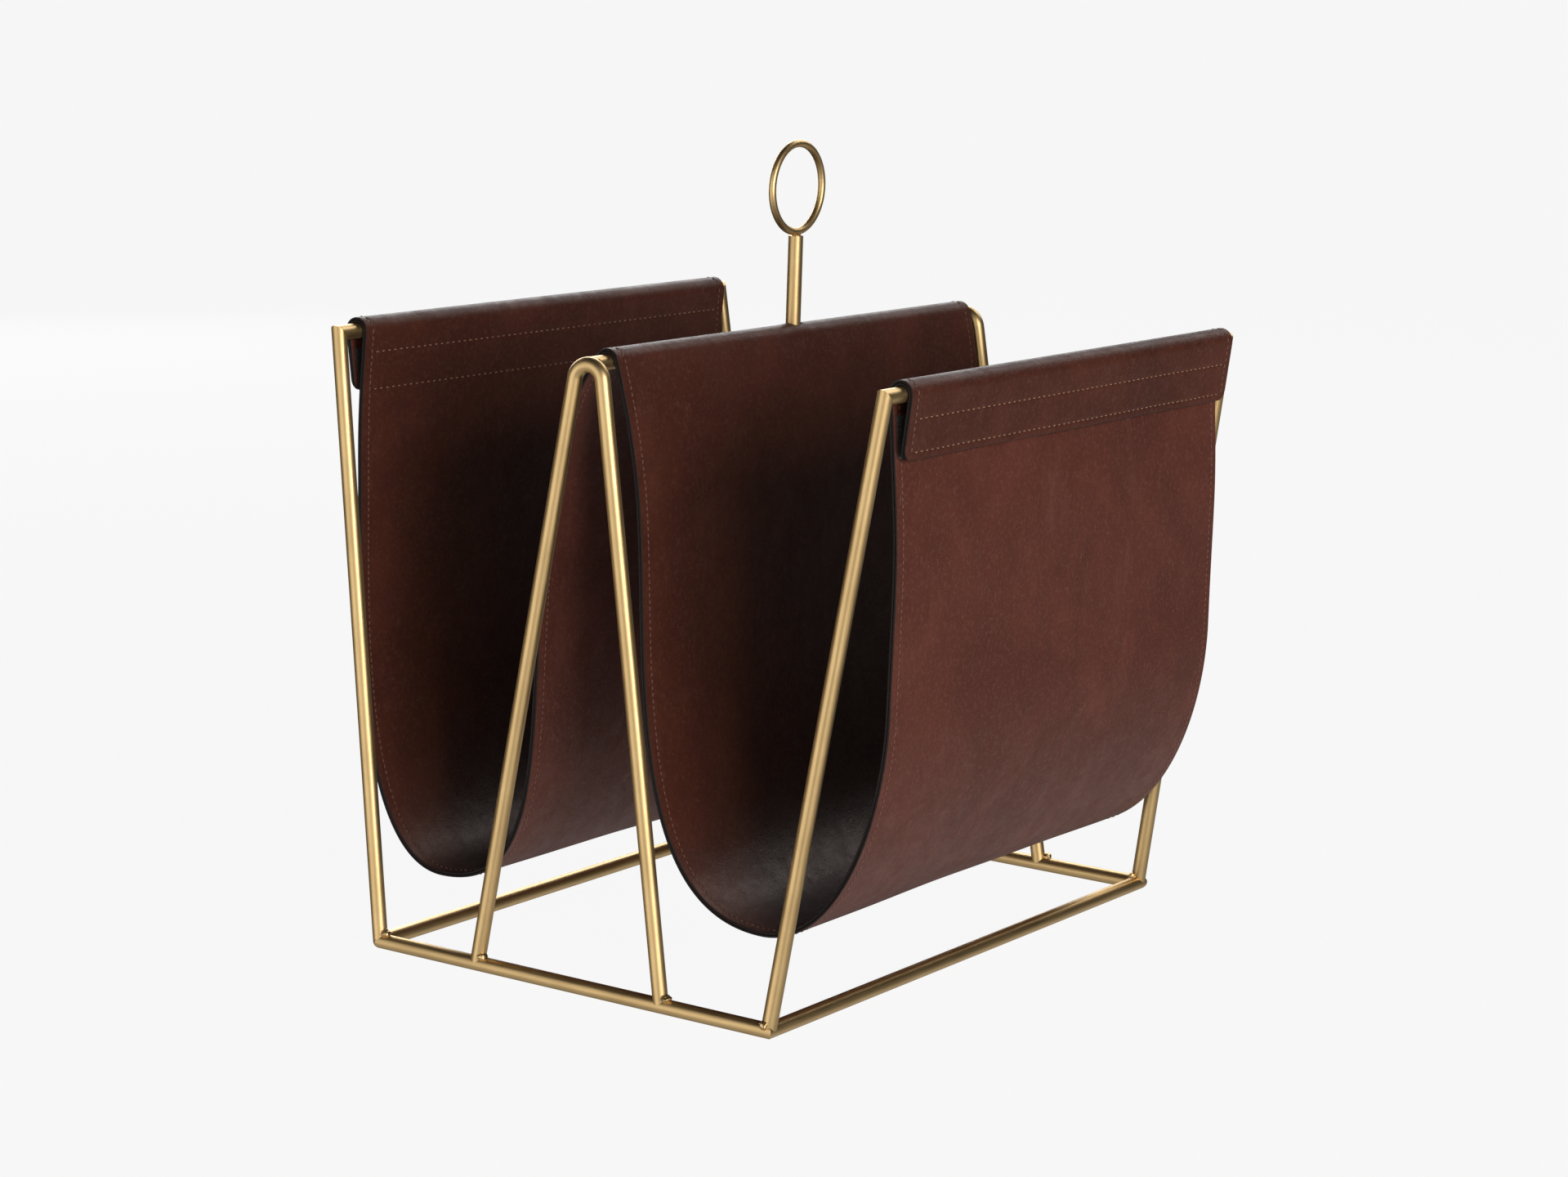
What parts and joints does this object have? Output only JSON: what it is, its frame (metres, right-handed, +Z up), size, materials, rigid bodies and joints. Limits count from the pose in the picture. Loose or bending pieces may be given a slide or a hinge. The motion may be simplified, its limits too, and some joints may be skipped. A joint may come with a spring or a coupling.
{
  "type": "magazine rack",
  "caption": "Freestanding two-pocket magazine rack: leather sling hung over a welded brass bar frame with a ring handle, held by peel-open flaps.",
  "frame": {"origin": "on the floor, midway between the four base bars", "axes": "+Z up, +X across the two pockets to the right, +Y along the top bars to the back"},
  "size_m": [0.3546, 0.382, 0.4271],
  "materials": {
    "brass": "satin antique brushed brass",
    "leather_under": "smooth dark reddish brown leather",
    "leather_face": "smooth dark brown leather, darker inside the pockets",
    "hook_and_loop": "black nylon hook and loop",
    "thread": "waxed reddish brown thread"
  },
  "bodies": {
    "frame": {"base_bar_back": "brass", "base_bar_front": "brass", "base_bar_left": "brass", "base_bar_right": "brass", "centre_hairpin_back": "brass", "centre_hairpin_front": "brass", "handle_ring": "brass", "handle_stem": "brass", "left_loop_strip": "hook_and_loop", "left_panel_thread_lower": "thread", "left_panel_thread_upper": "thread", "left_wrap_face_leather": "leather_face", "left_wrap_under_leather": "leather_under", "right_loop_strip": "hook_and_loop", "right_panel_thread_lower": "thread", "right_panel_thread_upper": "thread", "right_wrap_face_leather": "leather_face", "right_wrap_under_leather": "leather_under", "sling_edge_thread_back": "thread", "sling_edge_thread_front": "thread", "sling_face_leather": "leather_face", "sling_under_leather": "leather_under", "top_bar_centre": "brass", "top_bar_left": "brass", "top_bar_right": "brass", "upright_back_left": "brass", "upright_back_right": "brass", "upright_front_left": "brass", "upright_front_right": "brass"},
    "left_flap": {"left_flap_face_leather": "leather_face", "left_flap_thread_lower": "thread", "left_flap_thread_upper": "thread", "left_flap_under_leather": "leather_under", "left_hook_strip": "hook_and_loop"},
    "right_flap": {"right_flap_face_leather": "leather_face", "right_flap_thread_lower": "thread", "right_flap_thread_upper": "thread", "right_flap_under_leather": "leather_under", "right_hook_strip": "hook_and_loop"}
  },
  "joints": [
    {"name": "left_flap_peel", "type": "hinge", "parent": "frame", "child": "left_flap", "pos_m": [-0.1701, 0, 0.322], "axis": [0, 1, 0], "range_deg": [0, 100], "deforming": ["left_wrap_face_leather", "left_wrap_under_leather"]},
    {"name": "right_flap_peel", "type": "hinge", "parent": "frame", "child": "right_flap", "pos_m": [0.1701, 0, 0.322], "axis": [0, -1, 0], "range_deg": [0, 100], "deforming": ["right_wrap_face_leather", "right_wrap_under_leather"]}
  ]
}
